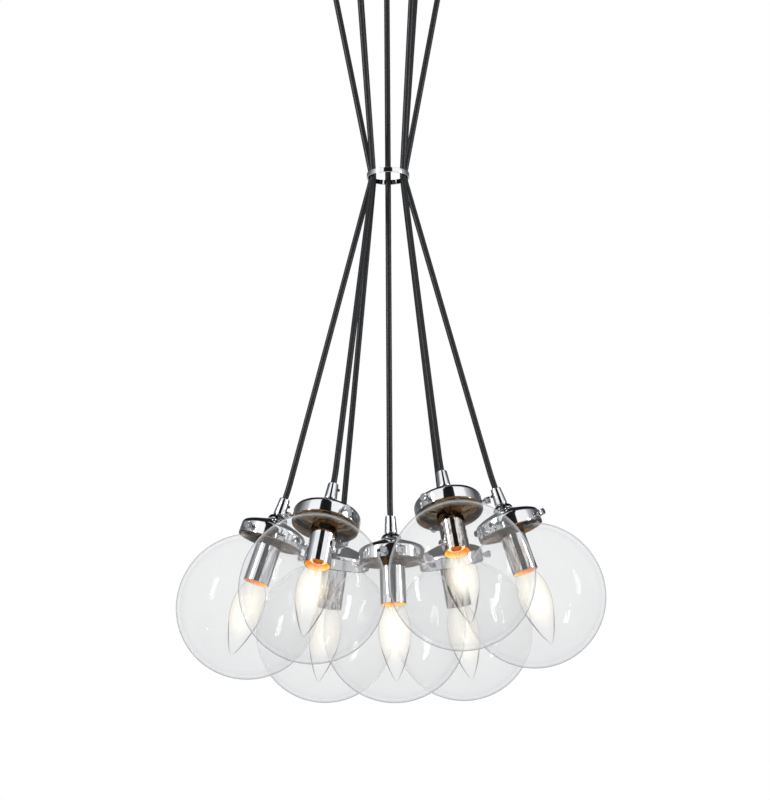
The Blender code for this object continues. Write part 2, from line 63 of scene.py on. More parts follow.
# Whole arrangement, as in the solids
RING_DROP = 0.292
OUTER_LAMP_DROP = 0.6564
CENTRE_LAMP_DROP = 0.6763
OUTER_TILT = math.radians(18.7)
CENTRE_TILT = math.radians(1.8)
GLOBE_RADIUS = 0.0762
GLOBE_TO_GLOBE = 0.001
GLOBE_CENTRE_DEPTH = 0.1252
OUTER_LAMP_CIRCLE = 2 * GLOBE_RADIUS + GLOBE_TO_GLOBE - GLOBE_CENTRE_DEPTH * math.sin(OUTER_TILT)
HANG_STAGGER = 0.009

# Lamps: name, azimuth, azimuth of its cord in the ring, stagger share, thumb screw turn, set screw turn
LAMPS = (
    ("right", 0, 0, 1.0, 91, 200),
    ("back_right", 60, 24, -0.45, 52, 60),
    ("back_left", 120, 156, -0.5, 86, 120),
    ("left", 180, 180, 0.05, 54, 165),
    ("front_left", 240, 204, -0.7, 62, 100),
    ("front_right", 300, 336, 0.6, 54, 150),
)
CENTRE = ("centre", 0, 0, 0, 20, 100)

# Cords; a bend's ease is how far from its corner it begins
CORD_RADIUS = 0.0032
CORD_CIRCLE_IN_RING = 0.0176
CORD_BEND_BELOW_RING_MIDDLE = 0.0015
CORD_BEND_REACH = 0.012
CORD_EASE_AT_ENDS = 0.009
CORD_EASE_AT_RING = 0.008
CORD_STEP = 0.004
CORD_BEND_STEPS = 6
CORD_ROUNDNESS = 4
CORD_IN_GRIP = 0.0115
CORD_IN_CANOPY = 0.011

# Gathering ring
RING_RADIUS = 0.0235
RING_INSIDE_RADIUS = 0.0220
RING_HALF_HEIGHT = 0.00275
RING_EASE = 0.0004

# Canopy
CANOPY_RADIUS = 0.090
CANOPY_DEPTH = 0.030
CANOPY_WALL = 0.0012
OUTLET_CIRCLE = 0.0625
OUTLET_HEIGHT = 0.012
OUTLET_TOP_RADIUS = 0.0068
OUTLET_FOOT_RADIUS = 0.0056
OUTLET_BORE_RADIUS = 0.0035
OUTLET_INTO_PAN = 0.004
STUD_CIRCLE = 0.04445

# Shade holder, its thumb screws and the cord grip; a normal that dips past DOWNWARD looks down
FITTER_RADIUS = 0.0355
BAND_MIDDLE_RADIUS = 0.0349
BAND_TOP_DEPTH = 0.037
DOWNWARD = -0.05
THUMB_SCREWS = 3
SCREW_DEPTH = 0.0445
KNOB_RADIUS = 0.0037
KNOB_GROOVE_RADIUS = 0.00335
KNOB_RIBS = 22
BELL_TOP_DEPTH = 0.0191
BELL_FOOT_DEPTH = 0.0246
SET_SCREW_OUT = 0.0066
SET_SCREW_DEPTH = 0.0075
TUBE_RIM_DEPTH = 0.0962

# Bulb
BULB_RADIUS = 0.0175
BULB_GLASS_TOP = 0.092
BULB_GLASS_LENGTH = 0.0866
BULB_OUTLINE = (
    (0.0, 0.355), (0.025, 0.40), (0.06, 0.53), (0.10, 0.665), (0.15, 0.79), (0.20, 0.88), (0.26, 0.95),
    (0.33, 0.992), (0.40, 1.0), (0.48, 0.972), (0.56, 0.905), (0.64, 0.805), (0.72, 0.68), (0.80, 0.545),
    (0.87, 0.405), (0.925, 0.275), (0.965, 0.175), (0.988, 0.095), (0.997, 0.045), (1.0, 0.0),
)
THREAD_TURNS = 5
THREAD_STEPS = 6
THREAD_HEIGHT = 0.0003
SHELL_RADIUS = 0.0056
SHELL_TOP = 0.0745
SHELL_LENGTH = 0.0140
LEAD_RADIUS = 0.00022
WIRE_RADIUS = 0.00035
WIRE_ROUNDNESS = 1
WIRE_SPREAD = 0.0052
WIRE_TOP = 0.1270
WIRE_DIP = 0.0095
WIRE_STEPS = 32
WIRE_COIL = 0.0003
WIRE_COILS = 20

# Light in the bulb, with its size and its bare top as shares of the glass
GLOW_TOP = 0.0975
GLOW_MIDDLE = 0.1355
GLOW_WIDTH = 0.93
GLOW_HEIGHT = 0.96
GLOW_BARE_TOP = 0.06

# Globe's neck; above its widest place the globe is a little taller than a ball
NECK_RADIUS = 0.0315
NECK_FILLET = 0.010
NECK_STEPS = 12
GLOBE_LIFT = 1.05
GLOBE_BANDS = 40

# Camera, fitted to the photograph
CAMERA_HEADING = math.radians(1.66)
CAMERA_PITCH = math.radians(14.36)
CAMERA_ROLL = math.radians(-0.36)
CAMERA_DISTANCE = 3.3355
CAMERA_ASIDE = -0.0049
CAMERA_HEIGHT = -1.4012
CAMERA_LENS = 142.9
CAMERA_SENSOR = 36

# Studio
FLOOR_RADIUS = 12
FLOOR_DROP = 2.3
FLOOR_SIDES = 64
LIT_SPOT = Vector((0, 0, -0.6))
BLACK = (0, 0, 0)
WHITE = (1, 1, 1)

# Area lights: name, place, size, power, whether the chrome mirrors it
LIGHTS = (
    ("window_left", (-1.9, -1.3, 0.1), (0.35, 1.3), 26, True),
    ("window_right", (2.1, -0.6, -0.2), (0.30, 1.1), 16, True),
    ("softbox_above", (0.2, 0.9, 1.3), (1.2, 0.8), 22, False),
)


# Node helpers

def shader(name, metallic=0.0):
    """A new node material: the material, its nodes, its links and its Principled BSDF."""
    made = bpy.data.materials.new(name)
    made.use_nodes = True
    tree = made.node_tree
    main = tree.nodes["Principled BSDF"]
    main.inputs["Metallic"].default_value = metallic
    return made, tree.nodes, tree.links, main


def bare_shader(name):
    """A new node material with its output alone: the material, its nodes, its links and that surface."""
    made, nodes, links, main = shader(name)
    nodes.remove(main)
    return made, nodes, links, nodes["Material Output"].inputs["Surface"]


def feed(links, source, socket):
    """What a socket takes: another node's result, or a constant."""
    if isinstance(source, bpy.types.NodeSocket):
        links.new(source, socket)
    else:
        socket.default_value = source


def preset(nodes, kind, **constants):
    """A new node with constants on its own sockets."""
    made = nodes.new(kind)
    for socket, value in constants.items():
        made.inputs[socket].default_value = value
    return made


def ramp(nodes, links, source, stops, smooth=False):
    """A colour ramp on a value; its first and last stops come with the node."""
    made = nodes.new("ShaderNodeValToRGB")
    bar = made.color_ramp
    bar.interpolation = "EASE" if smooth else "LINEAR"
    for element, (place, colour) in ((bar.elements[0], stops[0]), (bar.elements[1], stops[-1])):
        element.position = place
        element.color = (*colour, 1.0)
    for place, colour in stops[1:-1]:
        bar.elements.new(place).color = (*colour, 1.0)
    links.new(source, made.inputs["Fac"])
    return made.outputs["Color"]


def greys(*stops):
    """Ramp stops that are all grey, from (place, brightness)."""
    return tuple((place, (brightness,) * 3) for place, brightness in stops)


def noise(nodes, links, scale, detail=3.0, stretch=(1, 1, 1)):
    """Noise in the piece's own coordinates, where 1 is a metre."""
    place = nodes.new("ShaderNodeTexCoord")
    mapping = preset(nodes, "ShaderNodeMapping", Scale=stretch)
    made = preset(nodes, "ShaderNodeTexNoise", Scale=scale, Detail=detail)
    links.new(place.outputs["Object"], mapping.inputs["Vector"])
    links.new(mapping.outputs["Vector"], made.inputs["Vector"])
    return made.outputs["Fac"]


def bump(nodes, links, height, distance, strength, normal_in):
    """A bump from a height into a shader's normal."""
    made = preset(nodes, "ShaderNodeBump", Distance=distance, Strength=strength)
    links.new(height, made.inputs["Height"])
    links.new(made.outputs["Normal"], normal_in)


def ranged(nodes, links, source, low, high, first=0.0, last=1.0):
    """A value between first and last taken to between low and high."""
    made = nodes.new("ShaderNodeMapRange")
    for socket, value in (("From Min", first), ("From Max", last), ("To Min", low), ("To Max", high)):
        made.inputs[socket].default_value = value
    links.new(source, made.inputs["Value"])
    return made.outputs["Result"]


def figured(nodes, links, operation, first, second):
    """The result of a Math node."""
    made = nodes.new("ShaderNodeMath")
    made.operation = operation
    feed(links, first, made.inputs[0])
    feed(links, second, made.inputs[1])
    return made.outputs["Value"]


def vectored(nodes, links, operation, first, second=None):
    """The result of a Vector Math node: a vector, or a value where the operation gives one."""
    made = nodes.new("ShaderNodeVectorMath")
    made.operation = operation
    feed(links, first, made.inputs[0])
    if second is not None:
        feed(links, second, made.inputs[1])
    return made.outputs["Value" if operation in ("LENGTH", "DOT_PRODUCT") else "Vector"]


def blended(nodes, links, share, first, second):
    """A colour between two colours."""
    made = nodes.new("ShaderNodeMix")
    made.data_type = "RGBA"
    links.new(share, made.inputs[0])
    feed(links, first, made.inputs[6])
    feed(links, second, made.inputs[7])
    return made.outputs[2]


def mixed(nodes, links, share, first, second):
    """One shader that gives way to another by a share."""
    made = nodes.new("ShaderNodeMixShader")
    links.new(share, made.inputs["Fac"])
    links.new(first, made.inputs[1])
    links.new(second, made.inputs[2])
    return made.outputs["Shader"]


def in_own_box(nodes, links, axis):
    """How far along an axis of the piece's own box a point lies, from 0 to 1."""
    place = nodes.new("ShaderNodeTexCoord")
    made = nodes.new("ShaderNodeSeparateXYZ")
    links.new(place.outputs["Generated"], made.inputs["Vector"])
    return made.outputs[axis]


def facing_of(nodes):
    """0 where a wall is seen face on, 1 where it is seen edge on."""
    return preset(nodes, "ShaderNodeLayerWeight", Blend=0.5).outputs["Facing"]


def grazing(nodes, links, facing_on, grazed, power):
    """How much a thin wall mirrors: little face on, more edge on, the same from both sides."""
    facing = facing_of(nodes)
    steep = figured(nodes, links, "POWER", facing, power)
    return facing, ranged(nodes, links, steep, facing_on, grazed)


# Materials

def chrome(name, tint, smooth, rough, scale=60):
    """Polished plate: a faint unevenness of gloss and a very shallow ripple."""
    made, nodes, links, main = shader(name, 1.0)
    cloud = noise(nodes, links, scale)
    dark = tuple(c * 0.93 for c in tint)
    links.new(ramp(nodes, links, cloud, ((0.35, dark), (0.65, tint))), main.inputs["Base Color"])
    links.new(ranged(nodes, links, cloud, smooth, rough), main.inputs["Roughness"])
    bump(nodes, links, noise(nodes, links, scale * 4), 0.00005, 0.12, main.inputs["Normal"])
    return made


def with_painted_glow(made, colour, strength):
    """The same finish with a painted glow: emission that stands in for the bulb's light falling on it."""
    main = made.node_tree.nodes["Principled BSDF"]
    main.inputs["Emission Color"].default_value = (*colour, 1.0)
    main.inputs["Emission Strength"].default_value = strength
    return made


def clear_glass(name, edge_stops, gloss, veil):
    """Thin clear glass: greyer where seen edge on, with painted shade towards its bottom and a soft veil
    behind.
    """
    made, nodes, links, surface = bare_shader(name)
    path = nodes.new("ShaderNodeLightPath")
    wall = nodes.new("ShaderNodeNewGeometry")
    unmirrored = ranged(nodes, links, path.outputs["Is Glossy Ray"], 1, 0)
    behind = figured(nodes, links, "MULTIPLY", wall.outputs["Backfacing"], unmirrored)

    # How much of each wall is seen at all
    facing, far_share = grazing(nodes, links, veil, 0.30, 8)
    near_share = ramp(nodes, links, facing, greys(
        (0.0, 0.008), (0.60, 0.012), (0.72, 0.09), (0.80, 0.34), (0.87, 0.28), (0.94, 0.06), (1.0, 0.03),
    ))
    share = nodes.new("ShaderNodeMix")
    links.new(behind, share.inputs[0])
    links.new(near_share, share.inputs[2])
    links.new(far_share, share.inputs[3])

    # What is seen through it: painted shade darker towards its bottom, lighter where it lies behind another
    # wall
    painted_shade_below = ramp(nodes, links, in_own_box(nodes, links, "Z"), (
        (0.0, (0.925, 0.93, 0.935)), (0.35, (0.962, 0.965, 0.968)), (0.80, (0.982, 0.984, 0.987)),
    ))
    edge = ramp(nodes, links, facing, edge_stops)
    tint = vectored(nodes, links, "MULTIPLY", painted_shade_below, edge)
    further = ranged(nodes, links, path.outputs["Transparent Depth"], 0.0, 0.85, 1.0, 2.0)
    through = nodes.new("ShaderNodeBsdfTransparent")
    links.new(blended(nodes, links, further, tint, (*WHITE, 1)), through.inputs["Color"])

    # What it throws back: clear mirroring, or haze near the rim and on the wall behind
    mirror = preset(nodes, "ShaderNodeBsdfGlossy", Roughness=gloss)
    bump(nodes, links, noise(nodes, links, 22, 2.0), 0.002, 0.25, mirror.inputs["Normal"])
    haze = preset(nodes, "ShaderNodeBsdfDiffuse", Color=(0.93, 0.93, 0.925, 1.0))
    rim = ramp(nodes, links, facing, greys((0.58, 0), (0.70, 0.9)))
    veiled = ranged(nodes, links, behind, 0.0, 0.88)
    soft = figured(nodes, links, "MAXIMUM", rim, veiled)
    sheen = mixed(nodes, links, soft, mirror.outputs["BSDF"], haze.outputs["BSDF"])
    links.new(mixed(nodes, links, share.outputs[0], through.outputs["BSDF"], sheen), surface)
    return made


def bulb_envelope():
    """The lit bulb's glass: dark outlines at its tip, filled with warm light round the filament."""
    made, nodes, links, surface = bare_shader("bulb_envelope_glass")
    facing, share = grazing(nodes, links, 0.010, 0.25, 6)
    tip = ramp(nodes, links, facing, (
        (0.0, (0.985, 0.985, 0.985)), (0.50, (0.975, 0.97, 0.965)), (0.62, (0.84, 0.83, 0.81)),
        (0.76, (0.44, 0.42, 0.39)), (1.0, (0.10, 0.095, 0.09)),
    ))
    lit = ramp(nodes, links, facing, ((0.0, WHITE), (0.62, (0.99, 0.98, 0.96)), (1.0, (0.80, 0.76, 0.68))))
    where = ramp(nodes, links, in_own_box(nodes, links, "Z"), greys((0.24, 0), (0.46, 1)))
    through = preset(nodes, "ShaderNodeBsdfRefraction", IOR=1.0, Roughness=0.0)
    links.new(blended(nodes, links, where, tip, lit), through.inputs["Color"])
    mirror = preset(nodes, "ShaderNodeBsdfGlossy", Roughness=0.02)
    links.new(mixed(nodes, links, share, through.outputs["BSDF"], mirror.outputs["BSDF"]), surface)
    return made


def halo(name, tones, strength, soft, along):
    """Light that fills a bulb: it warms and fades out where the form turns away and towards its ends."""
    made, nodes, links, surface = bare_shader(name)
    facing = facing_of(nodes)
    glow = preset(nodes, "ShaderNodeEmission", Strength=strength)
    links.new(ramp(nodes, links, facing, tones), glow.inputs["Color"])
    clear = preset(nodes, "ShaderNodeBsdfRefraction", IOR=1.0, Roughness=0.0, Color=(*WHITE, 1))
    inward = ramp(nodes, links, facing, soft)
    lengthwise = ramp(nodes, links, in_own_box(nodes, links, "Z"), along)
    fade = figured(nodes, links, "MULTIPLY", inward, lengthwise)
    links.new(mixed(nodes, links, fade, clear.outputs["BSDF"], glow.outputs["Emission"]), surface)
    return made


def glowing(name, colour, strength):
    """A hot surface."""
    made, nodes, links, main = shader(name)
    main.inputs["Base Color"].default_value = (*colour, 1.0)
    main.inputs["Roughness"].default_value = 0.4
    main.inputs["Emission Color"].default_value = (*colour, 1.0)
    cloud = noise(nodes, links, 300)
    links.new(ranged(nodes, links, cloud, strength * 0.8, strength), main.inputs["Emission Strength"])
    return made


def tube_inside():
    """The socket tube's inside: painted glow of the bulb's light, bright orange at its mouth, painted shade
    deeper in.
    """
    made, nodes, links, main = shader("socket_inside_lit")
    main.inputs["Roughness"].default_value = 0.4
    # Painted glow at the mouth, fading into painted shade further in
    painted_amber_glow = ramp(nodes, links, in_own_box(nodes, links, "Z"), (
        (0.01, (1.0, 0.66, 0.20)), (0.05, (1.0, 0.50, 0.10)), (0.10, (0.66, 0.24, 0.04)),
        (0.25, (0.16, 0.05, 0.01)),
    ))
    links.new(painted_amber_glow, main.inputs["Base Color"])
    links.new(painted_amber_glow, main.inputs["Emission Color"])
    links.new(ranged(nodes, links, noise(nodes, links, 300), 0.62, 0.78), main.inputs["Emission Strength"])
    return made


def cord_sheath():
    """Satin black cord: a close round braid that catches a soft light along its length."""
    made, nodes, links, main = shader("cord_sheath_black")
    cloud = noise(nodes, links, 900, 2.0)
    tone = ramp(nodes, links, cloud, ((0.3, (0.008, 0.008, 0.009)), (0.7, (0.026, 0.027, 0.029))))
    links.new(tone, main.inputs["Base Color"])
    links.new(ranged(nodes, links, cloud, 0.30, 0.42), main.inputs["Roughness"])
    main.inputs["Specular IOR Level"].default_value = 0.30
    bump(nodes, links, cloud, 0.0003, 0.35, main.inputs["Normal"])
    return made


def lit_inside():
    """The shade holder's inside: dark plate, the bulb's light painted on in broken rings as reflection and
    glow.
    """
    made, nodes, links, main = shader("holder_inside_plate", 1.0)
    polar = nodes.new("ShaderNodeAttribute")
    polar.attribute_name = "polar"
    mapping = preset(nodes, "ShaderNodeMapping", Scale=(20, 1.7, 1.7))
    links.new(polar.outputs["Vector"], mapping.inputs["Vector"])
    place = nodes.new("ShaderNodeTexCoord")
    climb = vectored(nodes, links, "MULTIPLY", place.outputs["Generated"], (0, 0, 7))
    rings = preset(nodes, "ShaderNodeTexNoise", Scale=1.0, Detail=2.5)
    links.new(vectored(nodes, links, "ADD", climb, mapping.outputs["Vector"]), rings.inputs["Vector"])
    broken = rings.outputs["Fac"]
    out = nodes.new("ShaderNodeSeparateXYZ")
    links.new(polar.outputs["Vector"], out.inputs["Vector"])
    way_out = out.outputs["X"]

    # Painted reflection: the crown's colour carries the bulb's light in broken rings
    tone = ramp(nodes, links, broken, (
        (0.34, (0.02, 0.017, 0.014)), (0.43, (0.09, 0.08, 0.066)), (0.50, (0.20, 0.16, 0.115)),
        (0.56, (0.42, 0.25, 0.11)), (0.61, (0.16, 0.12, 0.08)), (0.68, (0.28, 0.27, 0.23)),
        (0.76, (0.55, 0.52, 0.45)),
    ))
    # Painted shade: dark near the tube, lighter across the crown, darker again on the band
    depth = ramp(nodes, links, way_out, greys(
        (0.0, 0.06), (0.46, 0.16), (0.60, 0.8), (0.955, 0.8), (0.97, 0.42), (1.0, 0.42),
    ))
    links.new(vectored(nodes, links, "MULTIPLY", tone, depth), main.inputs["Base Color"])

    # Painted glow: the band gives off warm orange patches as emission
    painted_amber_glow = ramp(nodes, links, broken, (
        (0.44, (0.004, 0.003, 0.002)), (0.52, (0.045, 0.030, 0.016)), (0.58, (0.22, 0.095, 0.022)),
        (0.64, (0.05, 0.034, 0.018)), (0.72, (0.10, 0.085, 0.06)),
    ))
    band = ramp(nodes, links, way_out, greys((0.955, 0), (0.97, 0.8)))
    links.new(painted_amber_glow, main.inputs["Emission Color"])
    links.new(band, main.inputs["Emission Strength"])
    links.new(ranged(nodes, links, broken, 0.06, 0.22), main.inputs["Roughness"])
    bump(nodes, links, broken, 0.0006, 0.3, main.inputs["Normal"])
    return made


def plate_with_painted_reflection():
    """The socket tube's plate: bright, with painted reflection of lit glass as warm brown streaks down it.
    """
    made, nodes, links, main = shader("tube_chrome_painted_reflection", 1.0)
    streaks = noise(nodes, links, 260, 3.0, (1, 1, 0.09))
    patches = noise(nodes, links, 26, 1.0, (1, 1, 0.6))
    # Painted reflection: warm brown and white streaks, in patches
    warm = ramp(nodes, links, streaks, (
        (0.36, (0.20, 0.165, 0.14)), (0.43, (0.84, 0.80, 0.76)), (0.50, (0.52, 0.40, 0.31)),
        (0.56, (0.94, 0.92, 0.90)), (0.66, (0.36, 0.29, 0.24)),
    ))
    plain = ramp(nodes, links, streaks, ((0.35, (0.87, 0.88, 0.89)), (0.65, (0.94, 0.95, 0.96))))
    where = ramp(nodes, links, patches, greys((0.42, 0), (0.52, 0.92)))
    links.new(blended(nodes, links, where, plain, warm), main.inputs["Base Color"])
    links.new(ranged(nodes, links, patches, 0.015, 0.05), main.inputs["Roughness"])
    bump(nodes, links, streaks, 0.00006, 0.15, main.inputs["Normal"])
    return made


def ring_painted_shade_and_highlights():
    """The ring's inside: painted shade behind the cords, with two painted highlights as bright gaps between
    them.
    """
    made, nodes, links, main = shader("ring_inside_painted_shade_and_highlights", 1.0)
    # Painted shade and painted highlights, from one side of the ring to the other
    tone = ramp(nodes, links, in_own_box(nodes, links, "X"), greys(
        (0.0, 0.30), (0.20, 0.04), (0.33, 0.03), (0.35, 0.90), (0.43, 0.80), (0.50, 0.10), (0.62, 0.03),
        (0.635, 0.90), (0.675, 0.90), (0.69, 0.03), (0.80, 0.04), (1.0, 0.30),
    ))
    links.new(tone, main.inputs["Base Color"])
    links.new(ranged(nodes, links, noise(nodes, links, 90), 0.015, 0.04), main.inputs["Roughness"])
    return made


def plastic(name, light, dark, rough, scale=200):
    """Moulded plastic with a slight mottle."""
    made, nodes, links, main = shader(name)
    cloud = noise(nodes, links, scale)
    links.new(ramp(nodes, links, cloud, ((0.3, dark), (0.7, light))), main.inputs["Base Color"])
    links.new(ranged(nodes, links, cloud, rough, rough + 0.12), main.inputs["Roughness"])
    bump(nodes, links, noise(nodes, links, scale * 5), 0.0001, 0.2, main.inputs["Normal"])
    return made


def plated_steel():
    """Zinc plate with the lengthwise grain of rolled strip."""
    made, nodes, links, main = shader("strap_zinc", 1.0)
    grain = noise(nodes, links, 120, 4.0, (12, 1, 12))
    tone = ramp(nodes, links, grain, ((0.3, (0.50, 0.50, 0.50)), (0.7, (0.68, 0.68, 0.66))))
    links.new(tone, main.inputs["Base Color"])
    links.new(ranged(nodes, links, grain, 0.25, 0.42), main.inputs["Roughness"])
    bump(nodes, links, grain, 0.0001, 0.3, main.inputs["Normal"])
    return made


# Mesh helpers

def new_object(name, data):
    """A new object in the scene."""
    item = bpy.data.objects.new(name, data)
    bpy.context.scene.collection.objects.link(item)
    return item


def mesh_of(shape, name):
    """The mesh of an edited shape, which is then given up."""
    mesh = bpy.data.meshes.new(name)
    shape.to_mesh(mesh)
    shape.free()
    return mesh


def smoothed(mesh):
    """The mesh shaded smooth, with its sharp edges kept."""
    mesh.shade_smooth()
    mesh.set_sharp_from_angle(angle=SHARP_ANGLE)
    return mesh


def dressed(mesh, *finishes):
    """The mesh with its finishes, the first one on every face."""
    for finish in finishes:
        mesh.materials.append(finish)
    return mesh


def looks_inward(face, tolerance=0.0):
    """Whether a face of a turned form looks at its axis."""
    return face.normal.x * face.center.x + face.normal.y * face.center.y < -tolerance


def eased(before, at, after, reach, steps):
    """Points of an eased bend that starts and ends so far from its corner."""
    start = at + (before - at).normalized() * reach
    end = at + (after - at).normalized() * reach
    shares = [step / steps for step in range(steps + 1)]
    return [start.lerp(at, t).lerp(at.lerp(end, t), t) for t in shares]


def rounded(points, steps=5):
    """A profile with the corners eased that have a third number."""
    made = []
    for k, point in enumerate(points):
        if len(point) == 2:
            made.append(point)
            continue
        before = Vector(points[k - 1][:2])
        after = Vector(points[(k + 1) % len(points)][:2])
        made += [tuple(spot) for spot in eased(before, Vector(point[:2]), after, point[2], steps)]
    return made


def lathe(name, profile, sides, closed=False):
    """A mesh turned about its own Z from a profile, with its points in the same order every run."""
    shape = bmesh.new()
    turns = [math.tau * k / sides for k in range(sides)]
    rings = []
    for radius, depth in profile:
        if radius < WELD:
            rings.append([shape.verts.new((0, 0, -depth))] * sides)
        else:
            spots = [(radius * math.cos(turn), radius * math.sin(turn), -depth) for turn in turns]
            rings.append([shape.verts.new(spot) for spot in spots])
    pairs = list(zip(rings, rings[1:]))
    if closed:
        pairs.append((rings[-1], rings[0]))
    for low, high in pairs:
        for k in range(sides):
            n = (k + 1) % sides
            points = tuple(dict.fromkeys((low[k], low[n], high[n], high[k])))
            if len(points) > 2:
                shape.faces.new(points)
    loose = [point for point in shape.verts if not point.link_faces]
    bmesh.ops.delete(shape, geom=loose, context="VERTS")
    bmesh.ops.recalc_face_normals(shape, faces=shape.faces)
    return smoothed(mesh_of(shape, name))


def mark_polar(mesh, full):
    """On each vertex, its share of the way out from the axis and its direction, for what runs round."""
    polar = mesh.attributes.new("polar", "FLOAT_VECTOR", "POINT")
    for vertex, spot in zip(mesh.vertices, polar.data):
        out = max(math.hypot(vertex.co.x, vertex.co.y), WELD)
        spot.vector = (out / full, vertex.co.x / out, vertex.co.y / out)


def merged(name, meshes):
    """Several (mesh, matrix) pairs in one mesh."""
    shape = bmesh.new()
    for mesh, matrix in meshes:
        start = len(shape.verts)
        shape.from_mesh(mesh)
        shape.verts.ensure_lookup_table()
        bmesh.ops.transform(shape, matrix=matrix, verts=shape.verts[start:])
    return smoothed(mesh_of(shape, name))


def tube(name, route, radius, roundness):
    """A round tube along a route, as a mesh."""
    data = bpy.data.curves.new(name, "CURVE")
    data.dimensions = "3D"
    data.bevel_depth = radius
    data.bevel_resolution = roundness
    data.use_fill_caps = True
    spline = data.splines.new("POLY")
    spline.points.add(len(route) - 1)
    for spot, point in zip(spline.points, route):
        spot.co = (*point, 1)
    item = new_object(name, data)
    bpy.context.view_layer.update()
    graph = bpy.context.evaluated_depsgraph_get()
    mesh = bpy.data.meshes.new_from_object(item.evaluated_get(graph), depsgraph=graph)
    bpy.data.objects.remove(item, do_unlink=True)
    mesh.shade_smooth()
    return mesh


def piece(name, mesh, body, matrix=None, stands_for=()):
    """One piece of the picture on its body, in place of the CAD nodes that it stands for."""
    if matrix is not None:
        mesh = mesh.copy()
        mesh.transform(matrix)
    item = new_object(name, mesh)
    bpy.context.view_layer.update()
    if body is not None:
        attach(item, body)
    if stands_for:
        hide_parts(*stands_for)
    return item


def refinish(node, finish):
    """Show a CAD node as it is, in a better finish."""
    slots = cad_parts[node].data.materials
    slots.clear()
    slots.append(finish)


def around(radius, degrees, height):
    """A point at a radius and azimuth."""
    angle = math.radians(degrees)
    return Vector((radius * math.cos(angle), radius * math.sin(angle), height))


def turn_z(degrees):
    """A rotation about +Z."""
    return Matrix.Rotation(math.radians(degrees), 4, "Z")


def lamp_matrix(spec):
    """Where a lamp's own axis stands: its origin at the grip's top, its -Z down the lamp."""
    name, azimuth, _, stagger = spec[:4]
    if name == "centre":
        return Matrix.Translation((0, 0, -CENTRE_LAMP_DROP)) @ Matrix.Rotation(-CENTRE_TILT, 4, "Y")
    top = around(OUTER_LAMP_CIRCLE, azimuth, -OUTER_LAMP_DROP + stagger * HANG_STAGGER)
    return Matrix.Translation(top) @ turn_z(azimuth) @ Matrix.Rotation(-OUTER_TILT, 4, "Y")


def corner(before, at, after, reach):
    """Points of an eased bend in a cord."""
    return eased(before, at, after, reach, CORD_BEND_STEPS)


def stepped(route, step):
    """A route with points no further apart than a step."""
    made = [route[0]]
    for a, b in zip(route, route[1:]):
        count = max(1, math.ceil((b - a).length / step))
        made += [a.lerp(b, k / count) for k in range(1, count + 1)]
    return made


# Forms of a lamp, upright, from the top of its grip down

def grip_form():
    """Cord grip: a tapered barrel with a bead and a bell below it, and its stem."""
    profile = rounded([
        (0.0034, 0.0120), (0.0034, 0.0006), (0.0052, 0.0, 0.0004), (0.0056, 0.0006, 0.0003),
        (0.0069, 0.0184, 0.0004), (0.0062, 0.0190, 0.0003), (0.0066, 0.0197, 0.0004),
        (0.0090, 0.0208, 0.0014), (0.0104, 0.0230, 0.0010), (0.0107, 0.0240, 0.0004),
        (0.0107, 0.0249, 0.0004), (0.0047, 0.0250), (0.0047, 0.0477), (0, 0.0477),
    ])
    return lathe("grip_form", profile, ROUND)


def set_screw_form():
    """The little domed screw that bites the cord."""
    profile = rounded([
        (0, -0.0021), (0.0011, -0.0019, 0.0005), (0.0016, -0.0009, 0.0003), (0.0016, 0.0006), (0, 0.0006),
    ])
    return lathe("set_screw_form", profile, SMALL)


def fitter_form():
    """Shade holder: a shallow crown, a soft shoulder and a straight band with a turned-in edge."""
    outer = [
        (0.0050, 0.0253), (0.0130, 0.0269, 0.003), (0.0300, 0.0327, 0.004),
        (FITTER_RADIUS, 0.0362, 0.0032), (FITTER_RADIUS, 0.0501, 0.0005), (0.0352, 0.0508, 0.0003),
    ]
    inner = [
        (0.0346, 0.0508), (0.0346, 0.0372, 0.003), (0.0298, 0.0337, 0.004), (0.0130, 0.0279, 0.003),
        (0.0050, 0.0262),
    ]
    return lathe("fitter_form", rounded(outer + inner), FINE, closed=True)


def thumb_screw_form():
    """A knurled thumb screw along its own +Z: pin, collar and ribbed head."""
    pin = lathe("pin", rounded([
        (0, -0.0339), (0.0013, -0.0339), (0.0016, -0.0342), (0.0016, -0.0368), (0.0026, -0.0369, 0.0002),
        (0.0026, -0.0387), (0, -0.0387),
    ]), SMALL)
    head = bmesh.new()
    levels = ((0.0386, 0.86), (0.0391, 1.0), (0.0440, 1.0), (0.0446, 0.86))
    rings = []
    for level, size in levels:
        ring = []
        for k in range(2 * KNOB_RIBS):
            radius = (KNOB_RADIUS if k % 2 else KNOB_GROOVE_RADIUS) * size
            angle = math.pi * k / KNOB_RIBS
            ring.append(head.verts.new((radius * math.cos(angle), radius * math.sin(angle), level)))
        rings.append(ring)
    for low, high in zip(rings, rings[1:]):
        for k in range(2 * KNOB_RIBS):
            n = (k + 1) % (2 * KNOB_RIBS)
            head.faces.new((low[k], low[n], high[n], high[k]))
    head.faces.new(list(reversed(rings[0])))
    head.faces.new(rings[-1])
    knob = mesh_of(head, "knob")
    return merged("thumb_screw_form", [(pin, Matrix.Identity(4)), (knob, Matrix.Identity(4))])


def thumb_screws_form():
    """The thumb screws round the shade holder's band."""
    one = thumb_screw_form()
    places = []
    for k in range(THUMB_SCREWS):
        aim = turn_z(360 / THUMB_SCREWS * k) @ Matrix.Rotation(math.pi / 2, 4, "Y")
        places.append((one, Matrix.Translation((0, 0, -SCREW_DEPTH)) @ aim))
    return merged("thumb_screws_form", places)


